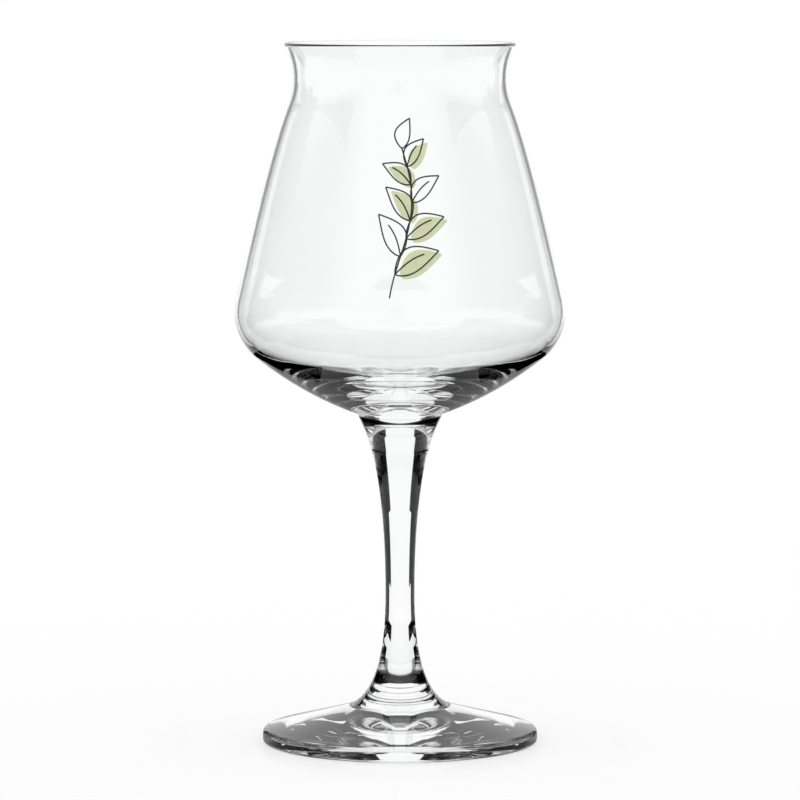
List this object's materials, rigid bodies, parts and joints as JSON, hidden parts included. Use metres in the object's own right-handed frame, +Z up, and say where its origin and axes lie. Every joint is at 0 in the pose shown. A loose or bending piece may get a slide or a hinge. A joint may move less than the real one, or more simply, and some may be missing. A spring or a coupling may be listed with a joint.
{
  "type": "stemmed tasting glass",
  "caption": "Clear stemmed beer glass: angular bowl narrowing to a drawn-in neck and flared lip, on a slim solid stem and a round conical foot, for holding and tasting a drink.",
  "frame": {"origin": "centre of the flat ring under the foot that the glass stands on", "axes": "+Z up along the glass's axis of revolution, towards the rim; +Y away from the printed front"},
  "size_m": [0.0922, 0.0922, 0.1959],
  "materials": {
    "bowl_glass": "clear soda-lime glass, blown, fire-polished lip",
    "stem_glass": "clear soda-lime glass, drawn",
    "foot_glass": "clear soda-lime glass, spun",
    "line_enamel": "black fired-on enamel line print, satin",
    "leaf_enamel": "pale green fired-on enamel print, satin"
  },
  "bodies": {
    "root": {"bowl": "bowl_glass", "stem": "stem_glass", "foot": "foot_glass"}
  },
  "joints": []
}
